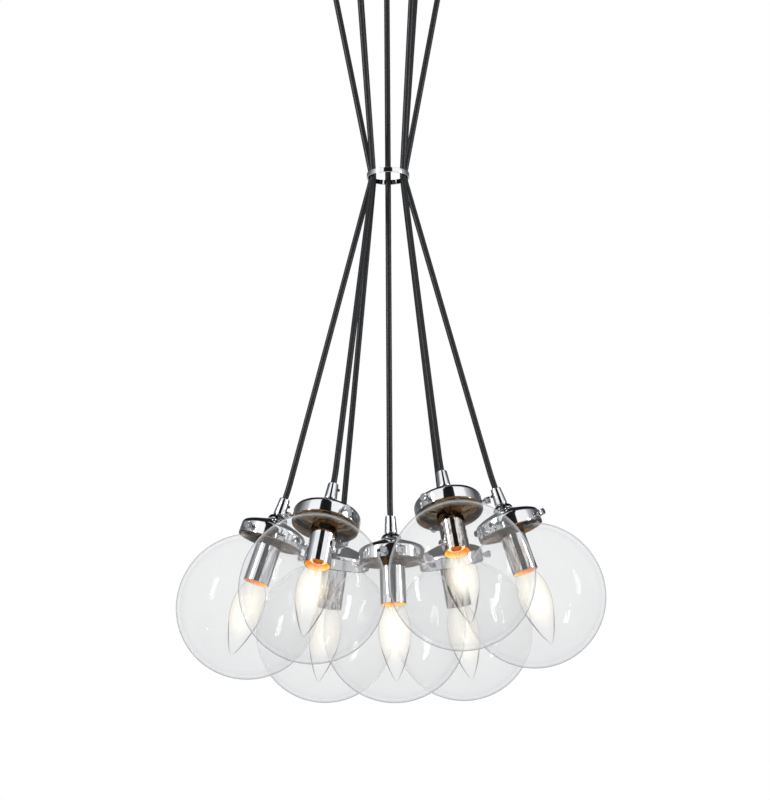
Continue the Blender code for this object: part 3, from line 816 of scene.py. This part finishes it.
def cover_form():
    """Socket cover: a plain tube with a softly turned rim."""
    return lathe("cover_form", rounded([
        (0.0050, 0.0290), (0.01375, 0.0290, 0.0008), (0.01375, 0.0964, 0.0004), (0.01295, 0.0964, 0.0003),
        (0.01295, 0.0298), (0.0050, 0.0298),
    ]), ROUND, closed=True)


def bulb_outline(scale=1.0, cut=0.0):
    """Half of the bulb's torpedo outline from its neck to its tip, without its top share."""
    made = []
    for along, out in BULB_OUTLINE:
        if cut <= along:
            made.append((out * BULB_RADIUS * scale, BULB_GLASS_TOP + BULB_GLASS_LENGTH * along))
    return made


def bulb_glass_form():
    """The bulb's glass envelope."""
    return lathe("bulb_glass_form", [(0.0056, 0.0915)] + bulb_outline(), ROUND)


def bulb_base_form():
    """Screw base: a contact, a black glass button and a threaded shell."""
    profile = [(0, 0.0718), (0.0022, 0.0719), (0.0030, 0.0726), (0.0044, 0.0738)]
    steps = THREAD_TURNS * THREAD_STEPS
    for k in range(steps + 1):
        t = k / steps
        ridge = THREAD_HEIGHT * math.sin(math.tau * THREAD_TURNS * t)
        profile.append((SHELL_RADIUS + ridge, SHELL_TOP + SHELL_LENGTH * t))
    profile += [(0.0059, 0.0900), (0.0059, 0.0922), (0.0055, 0.0925)]
    return lathe("bulb_base_form", profile, ROUND)


def bulb_glow_form():
    """Where the light gathers: just inside the envelope, from under its neck to above its tip."""
    profile = [(0, GLOW_TOP)]
    for radius, depth in bulb_outline(GLOW_WIDTH, GLOW_BARE_TOP):
        profile.append((radius, GLOW_MIDDLE + (depth - GLOW_MIDDLE) * GLOW_HEIGHT))
    return lathe("bulb_glow_form", profile, ROUND)


def stem_form():
    """The glass stem that holds the lead wires."""
    return lathe("stem", rounded([
        (0, 0.0925), (0.0050, 0.0925), (0.0042, 0.0960, 0.001), (0.0022, 0.0990, 0.002),
        (0.0016, 0.1080, 0.001), (0, 0.1100),
    ]), SMALL)


def leads_form():
    """The two lead wires, from the stem out to the ends of the filament."""
    leads = []
    for side in (-1, 1):
        route = [
            Vector((side * 0.0010, 0, -0.1070)), Vector((side * 0.0014, 0, -0.1120)),
            Vector((side * 0.0048, 0, -0.1200)), Vector((side * WIRE_SPREAD, 0, -WIRE_TOP)),
        ]
        leads.append((tube("lead", route, LEAD_RADIUS, WIRE_ROUNDNESS), Matrix.Identity(4)))
    return merged("leads", leads)


def filament_form():
    """The bent and coiled filament."""
    arch = []
    for k in range(WIRE_STEPS + 1):
        t = k / WIRE_STEPS
        angle = math.pi * t
        coil = WIRE_COIL * math.sin(math.tau * WIRE_COILS * t)
        arch.append(Vector((-WIRE_SPREAD * math.cos(angle), coil, -WIRE_TOP - WIRE_DIP * math.sin(angle))))
    return tube("filament_form", arch, WIRE_RADIUS, WIRE_ROUNDNESS)


def globe_form():
    """The blown globe: lip, neck, a soft fillet, full shoulders and the ball."""
    reach = NECK_RADIUS + NECK_FILLET
    away = GLOBE_RADIUS + NECK_FILLET
    rise = math.sqrt(away ** 2 - reach ** 2)
    depth = GLOBE_CENTRE_DEPTH - rise * GLOBE_LIFT
    meet = math.pi - math.asin(reach / away)
    profile = rounded([
        (0.0300, 0.0388), (0.0333, 0.0383, 0.0006), (0.0333, 0.0398, 0.0006),
        (NECK_RADIUS, 0.0412, 0.0007),
    ])
    profile.append((NECK_RADIUS, depth))
    for k in range(1, NECK_STEPS):
        bend = math.atan(rise / reach) * k / NECK_STEPS
        down = NECK_FILLET * math.sin(bend) * GLOBE_LIFT
        profile.append((reach - NECK_FILLET * math.cos(bend), depth + down))
    for k in range(GLOBE_BANDS + 1):
        angle = meet * (1 - k / GLOBE_BANDS)
        below = GLOBE_RADIUS * math.cos(angle)
        if below < 0:
            below *= GLOBE_LIFT
        profile.append((GLOBE_RADIUS * math.sin(angle), GLOBE_CENTRE_DEPTH + below))
    return lathe("globe_form", profile, FINE)


# Finishes

BRIGHT = (0.93, 0.94, 0.95)
plate = chrome("polished_chrome", BRIGHT, 0.015, 0.05)
ring_plate = chrome("ring_polished_chrome", BRIGHT, 0.015, 0.04, 90)
ring_inside = ring_painted_shade_and_highlights()
canopy_plate = chrome("canopy_polished_chrome", BRIGHT, 0.02, 0.06, 25)
inside_painted_light = lit_inside()
tube_painted_reflection = plate_with_painted_reflection()
screw_plate = chrome("knurled_nickel", (0.50, 0.50, 0.51), 0.04, 0.12, 400)
# The bell's near-black tint is a painted dark reflection of the dark surroundings it mirrors
bell_painted_dark_reflection = chrome("bell_chrome_painted_dark_reflection", (0.13, 0.13, 0.14), 0.02, 0.06, 200)
dark_screw = chrome("set_screw_black_oxide", (0.08, 0.08, 0.085), 0.25, 0.40, 400)
# The bulb base's orange emission is painted glow from the bulb's light
lit_base = with_painted_glow(chrome("bulb_base_nickel_painted_glow", (0.55, 0.34, 0.14), 0.15, 0.28, 300), (0.85, 0.26, 0.04), 0.34)
tube_inside_painted_glow = tube_inside()
# The tube's rim: painted reflection of the bulb's warm light as a dark orange-brown tint
rim_painted_reflection = chrome("tube_rim_amber", (0.20, 0.09, 0.03), 0.05, 0.12, 200)
# The lampholder's emission is painted glow, standing in for the bulb's light inside the tube
cream_painted_glow = with_painted_glow(
    plastic("lampholder_cream_moulding", (0.82, 0.78, 0.68), (0.74, 0.69, 0.58), 0.42),
    (1.0, 0.62, 0.24), 0.9,
)
steel = plated_steel()
sheath = cord_sheath()
globe_glass = clear_glass("globe_clear_glass", (
    (0.0, (0.985, 0.985, 0.985)), (0.50, (0.98, 0.98, 0.98)), (0.65, (0.945, 0.948, 0.952)),
    (0.70, (0.99, 0.992, 0.994)), (0.78, (0.93, 0.935, 0.94)), (0.86, (0.73, 0.74, 0.75)),
    (1.0, (0.45, 0.46, 0.47)),
), 0.02, 0.18)
stem_glass = clear_glass("stem_clear_glass", (
    (0.0, (0.97, 0.94, 0.86)), (1.0, (0.60, 0.50, 0.36)),
), 0.05, 0.05)
envelope = bulb_envelope()
glow = halo(
    "bulb_light",
    tones=((0.0, (1.0, 0.98, 0.90)), (0.12, (1.0, 0.95, 0.83)), (0.5, (1.0, 0.91, 0.76))),
    strength=1.30,
    soft=greys(
        (0.0, 0.92), (0.046, 0.78), (0.134, 0.57), (0.286, 0.35), (0.473, 0.18), (0.69, 0.07), (0.88, 0),
    ),
    along=greys(
        (0.0, 0), (0.14, 0.02), (0.28, 0.17), (0.42, 0.55), (0.54, 0.95), (0.66, 1), (0.84, 0.74),
        (1.0, 0.24),
    ),
)
hot_wire = glowing("filament_hot", (1.0, 0.72, 0.36), 9.0)
lead_wire = chrome("lead_wire_nickel", (0.6, 0.58, 0.52), 0.2, 0.3, 500)


# Lamps

forms = {
    "grip": dressed(grip_form(), plate, bell_painted_dark_reflection),
    "set_screw": dressed(set_screw_form(), dark_screw),
    "fitter": dressed(fitter_form(), plate, inside_painted_light),
    "screws": dressed(thumb_screws_form(), screw_plate),
    "cover": dressed(cover_form(), tube_painted_reflection, tube_inside_painted_glow, rim_painted_reflection),
    "bulb": dressed(bulb_glass_form(), envelope),
    "base": dressed(bulb_base_form(), lit_base),
    "glow": dressed(bulb_glow_form(), glow),
    "globe": dressed(globe_form(), globe_glass),
    "stem": dressed(stem_form(), stem_glass),
    "leads": dressed(leads_form(), lead_wire),
    "filament": dressed(filament_form(), hot_wire),
}

# Insides and dark parts take a finish of their own, with painted light: reflection, shade and glow
mark_polar(forms["fitter"], FITTER_RADIUS)
for face in forms["fitter"].polygons:
    middle = face.center
    within = math.hypot(middle.x, middle.y) < BAND_MIDDLE_RADIUS and middle.z < -BAND_TOP_DEPTH
    if face.normal.z < DOWNWARD or within:
        face.material_index = 1
# The bell takes the painted dark reflection
for face in forms["grip"].polygons:
    if -BELL_FOOT_DEPTH < face.center.z < -BELL_TOP_DEPTH:
        face.material_index = 1
# The tube's rim takes the painted reflection, its inside the painted glow
for face in forms["cover"].polygons:
    if face.center.z < -TUBE_RIM_DEPTH:
        face.material_index = 2
    elif looks_inward(face):
        face.material_index = 1


def lamp(spec):
    """Every visible piece of one lamp from its grip down."""
    name, turn, set_turn = spec[0], spec[4], spec[5]
    body = ROOT if name == "centre" else "lamp_" + name
    at = lamp_matrix(spec)
    spun = at @ turn_z(turn)
    piece("cord_grip_" + name, forms["grip"], body, spun, ["grip_" + name])
    seat = Matrix.Translation((SET_SCREW_OUT, 0, -SET_SCREW_DEPTH)) @ Matrix.Rotation(math.pi / 2, 4, "Y")
    piece("set_screw_" + name, forms["set_screw"], body, at @ turn_z(set_turn) @ seat)
    piece("shade_holder_" + name, forms["fitter"], body, spun, ["fitter_" + name])
    piece("thumb_screws_" + name, forms["screws"], body, spun)
    piece("socket_tube_" + name, forms["cover"], body, spun, ["socket_cover_" + name])
    bulb = "bulb_" + name
    piece("bulb_glass_" + name, forms["bulb"], bulb, spun, [bulb])
    piece("bulb_base_" + name, forms["base"], bulb, spun)
    piece("bulb_light_" + name, forms["glow"], bulb, spun)
    piece("bulb_stem_" + name, forms["stem"], bulb, spun)
    piece("bulb_leads_" + name, forms["leads"], bulb, spun)
    piece("bulb_filament_" + name, forms["filament"], bulb, spun)
    globe = "globe_" + name
    piece("glass_globe_" + name, forms["globe"], globe, spun, [globe])
    refinish("lampholder_" + name, cream_painted_glow)


def cord_ends(spec, outlet):
    """Where a cord ends in the canopy, where it turns into its grip, and where it ends in the grip."""
    at = lamp_matrix(spec)
    grip_top = at.translation.copy()
    axis = (at.to_3x3() @ Vector((0, 0, -1))).normalized()
    inside = Vector((outlet.x, outlet.y, -CANOPY_DEPTH + CORD_IN_CANOPY))
    return inside, grip_top - axis * CORD_BEND_REACH, grip_top + axis * CORD_IN_GRIP


def outer_cord(spec):
    """One outer cord, from inside the canopy through its outlet and the ring into its grip."""
    name, azimuth, ring_azimuth = spec[:3]
    bend = around(CORD_CIRCLE_IN_RING, ring_azimuth, -RING_DROP - CORD_BEND_BELOW_RING_MIDDLE)
    outlet = around(OUTLET_CIRCLE, azimuth, -CANOPY_DEPTH - OUTLET_HEIGHT)
    inside, above_grip, seat = cord_ends(spec, outlet)
    below_outlet = outlet - Vector((0, 0, CORD_BEND_REACH))
    route = [inside] + corner(inside, below_outlet, bend, CORD_EASE_AT_ENDS)
    route += corner(below_outlet, bend, above_grip, CORD_EASE_AT_RING)
    route += corner(bend, above_grip, seat, CORD_EASE_AT_ENDS) + [seat]
    mesh = tube("cord_" + name, stepped(route, CORD_STEP), CORD_RADIUS, CORD_ROUNDNESS)
    item = piece("cord_" + name, dressed(mesh, sheath), None)
    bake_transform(item)
    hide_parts("cord_upper_" + name, "cord_lower_" + name)


def centre_cord():
    """The middle cord, straight down into the middle lamp's grip."""
    inside, above_grip, seat = cord_ends(CENTRE, Vector((0, 0, 0)))
    through = Vector((0, 0, -RING_DROP))
    route = [inside, through] + corner(through, above_grip, seat, CORD_EASE_AT_ENDS) + [seat]
    mesh = tube("cord_centre_line", stepped(route, CORD_STEP), CORD_RADIUS, CORD_ROUNDNESS)
    piece("cord_line_centre", dressed(mesh, sheath), ROOT, None, ["cord_centre"])


def ring():
    """The gathering ring: a thin polished band with softened edges."""
    mesh = lathe("ring_form", rounded([
        (RING_RADIUS, -RING_HALF_HEIGHT, RING_EASE), (RING_RADIUS, RING_HALF_HEIGHT, RING_EASE),
        (RING_INSIDE_RADIUS, RING_HALF_HEIGHT, RING_EASE),
        (RING_INSIDE_RADIUS, -RING_HALF_HEIGHT, RING_EASE),
    ]), FINE, closed=True)
    dressed(mesh, ring_plate, ring_inside)
    # The inside takes the painted shade and highlights
    for face in mesh.polygons:
        if looks_inward(face, 0.01):
            face.material_index = 1
    at = Matrix.Translation((0, 0, -RING_DROP))
    piece("chrome_ring", mesh, ROOT, at, ["gathering_ring"])


def canopy():
    """The spun canopy, its seven outlets, the strap and the cap nuts."""
    inner = CANOPY_RADIUS - CANOPY_WALL
    floor = CANOPY_DEPTH - CANOPY_WALL
    pan = lathe("canopy_form", rounded([
        (0, floor), (inner, floor, 0.006), (inner, 0), (CANOPY_RADIUS, 0, 0.0004),
        (CANOPY_RADIUS, CANOPY_DEPTH, 0.0075), (0, CANOPY_DEPTH),
    ], 8), FINE)
    piece("canopy_pan", dressed(pan, canopy_plate), ROOT, None, ["canopy"])
    outlet = lathe("outlet_form", rounded([
        (OUTLET_BORE_RADIUS, CANOPY_DEPTH - OUTLET_INTO_PAN),
        (OUTLET_TOP_RADIUS, CANOPY_DEPTH - OUTLET_INTO_PAN),
        (OUTLET_TOP_RADIUS, CANOPY_DEPTH), (OUTLET_TOP_RADIUS, CANOPY_DEPTH + 0.0030, 0.0006),
        (OUTLET_FOOT_RADIUS, CANOPY_DEPTH + OUTLET_HEIGHT, 0.0008),
        (OUTLET_BORE_RADIUS, CANOPY_DEPTH + OUTLET_HEIGHT, 0.0004),
    ]), ROUND, closed=True)
    dressed(outlet, canopy_plate)
    spots = [("centre", Vector((0, 0, 0)))]
    spots += [(spec[0], around(OUTLET_CIRCLE, spec[1], 0)) for spec in LAMPS]
    for name, spot in spots:
        piece("cord_outlet_" + name, outlet, ROOT, Matrix.Translation(spot))
    nut_below_canopy = (
        (0.0023, 0.0003), (0.0052, 0.0003, 0.0003), (0.0052, 0.0018, 0.0003), (0.0045, 0.0019),
        (0.0045, 0.0058, 0.0015), (0.0036, 0.0088, 0.0015), (0, 0.0098, 0.0015), (0, 0.0058),
        (0.0023, 0.0058),
    )
    nut = lathe("nut_form", rounded([
        (radius, CANOPY_DEPTH + drop, *reach) for radius, drop, *reach in nut_below_canopy
    ]), ROUND)
    dressed(nut, canopy_plate)
    for side, word in ((-1, "front"), (1, "back")):
        at = Matrix.Translation((0, side * STUD_CIRCLE, 0))
        piece("cap_nut_" + word, nut, ROOT, at, ["canopy_nut_" + word])
    refinish("ceiling_strap", steel)


# Surroundings

def pale_floor():
    """A pale floor that runs out into the white backdrop, and isn't seen from underneath."""
    made, nodes, links, main = shader("floor_pale")
    main.inputs["Base Color"].default_value = (0.90, 0.90, 0.90, 1)
    main.inputs["Roughness"].default_value = 0.8
    place = nodes.new("ShaderNodeTexCoord")
    away = vectored(nodes, links, "LENGTH", place.outputs["Object"])
    tenth = figured(nodes, links, "MULTIPLY", away, 0.1)
    faded = ramp(nodes, links, tenth, ((0.04, BLACK), (0.55, WHITE)), True)
    path = nodes.new("ShaderNodeLightPath")
    seen = figured(nodes, links, "MULTIPLY", faded, path.outputs["Is Camera Ray"])
    white = preset(nodes, "ShaderNodeEmission", Color=(*WHITE, 1))
    top = mixed(nodes, links, seen, main.outputs["BSDF"], white.outputs["Emission"])
    wall = nodes.new("ShaderNodeNewGeometry")
    clear = nodes.new("ShaderNodeBsdfTransparent")
    whole = mixed(nodes, links, wall.outputs["Backfacing"], top, clear.outputs["BSDF"])
    links.new(whole, nodes["Material Output"].inputs["Surface"])
    return made


def backdrop():
    """White to the eye and through glass; in the chrome, a room with a dark gap where the camera stands."""
    world = bpy.data.worlds.new("studio")
    bpy.context.scene.world = world
    world.use_nodes = True
    nodes, links = world.node_tree.nodes, world.node_tree.links
    direction = nodes.new("ShaderNodeTexCoord").outputs["Generated"]
    level = vectored(nodes, links, "MULTIPLY", direction, (1, 1, 0))
    unit = vectored(nodes, links, "NORMALIZE", level)
    camera_side = (math.sin(CAMERA_HEADING), -math.cos(CAMERA_HEADING), 0)
    towards = vectored(nodes, links, "DOT_PRODUCT", unit, camera_side)
    room = ramp(nodes, links, ranged(nodes, links, towards, 0.0, 1.0, -1.0, 1.0), (
        (0.0, (0.26, 0.27, 0.28)), (0.12, (0.13, 0.13, 0.14)), (0.26, (0.11, 0.11, 0.12)),
        (0.38, (0.24, 0.24, 0.26)), (0.50, (0.40, 0.41, 0.43)), (0.60, (0.55, 0.56, 0.58)),
        (0.68, (0.95, 0.96, 0.98)), (0.955, WHITE), (0.963, (0.02, 0.02, 0.025)), (1.0, (0.01, 0.01, 0.012)),
    ))
    up_and_back = (-0.42 * math.sin(CAMERA_HEADING), 0.42 * math.cos(CAMERA_HEADING), 0.91)
    above = vectored(nodes, links, "DOT_PRODUCT", direction, up_and_back)
    ceiling = ramp(nodes, links, above, ((0.62, WHITE), (0.78, (0.07, 0.07, 0.08))))
    fill = nodes["Background"]
    fill.inputs["Color"].default_value = (0.62, 0.63, 0.65, 1)
    mirrored = nodes.new("ShaderNodeBackground")
    links.new(vectored(nodes, links, "MULTIPLY", room, ceiling), mirrored.inputs["Color"])
    white = preset(nodes, "ShaderNodeBackground", Color=(*WHITE, 1))
    path = nodes.new("ShaderNodeLightPath").outputs
    seen = figured(nodes, links, "MAXIMUM", path["Is Camera Ray"], path["Is Transmission Ray"])
    lit = mixed(
        nodes, links, path["Is Glossy Ray"], fill.outputs["Background"], mirrored.outputs["Background"],
    )
    whole = mixed(nodes, links, seen, lit, white.outputs["Background"])
    links.new(whole, nodes["World Output"].inputs["Surface"])


def surroundings():
    """White studio: the backdrop, the pale floor and the lights."""
    backdrop()
    shape = bmesh.new()
    bmesh.ops.create_circle(shape, cap_ends=True, segments=FLOOR_SIDES, radius=FLOOR_RADIUS)
    floor = new_object("floor", dressed(mesh_of(shape, "floor"), pale_floor()))
    floor.location = (0, 0, -FLOOR_DROP)
    for name, spot, size, power, mirrors in LIGHTS:
        data = bpy.data.lights.new(name, "AREA")
        data.shape = "RECTANGLE"
        data.size, data.size_y = size
        data.energy = power
        light = new_object(name, data)
        light.visible_glossy = mirrors
        light.location = spot
        light.rotation_euler = (LIT_SPOT - Vector(spot)).to_track_quat("-Z", "Y").to_euler()


def camera():
    """The photograph's view."""
    look = Vector((-math.sin(CAMERA_HEADING), math.cos(CAMERA_HEADING), 0))
    right = Vector((math.cos(CAMERA_HEADING), math.sin(CAMERA_HEADING), 0))
    eye = -look * CAMERA_DISTANCE + right * CAMERA_ASIDE + Vector((0, 0, CAMERA_HEIGHT))
    ahead = look * math.cos(CAMERA_PITCH) + Vector((0, 0, math.sin(CAMERA_PITCH)))
    up = right.cross(ahead)
    right, up = (
        right * math.cos(CAMERA_ROLL) + up * math.sin(CAMERA_ROLL),
        up * math.cos(CAMERA_ROLL) - right * math.sin(CAMERA_ROLL),
    )
    data = bpy.data.cameras.new("view")
    data.lens = CAMERA_LENS
    data.sensor_width = CAMERA_SENSOR
    item = new_object("view", data)
    item.matrix_world = Matrix((right, up, -ahead)).transposed().to_4x4()
    item.location = eye
    bpy.context.scene.camera = item


camera()
for spec in LAMPS:
    outer_cord(spec)
    lamp(spec)
centre_cord()
lamp(CENTRE)
ring()
canopy()
surroundings()
bpy.context.scene.view_settings.view_transform = "Standard"
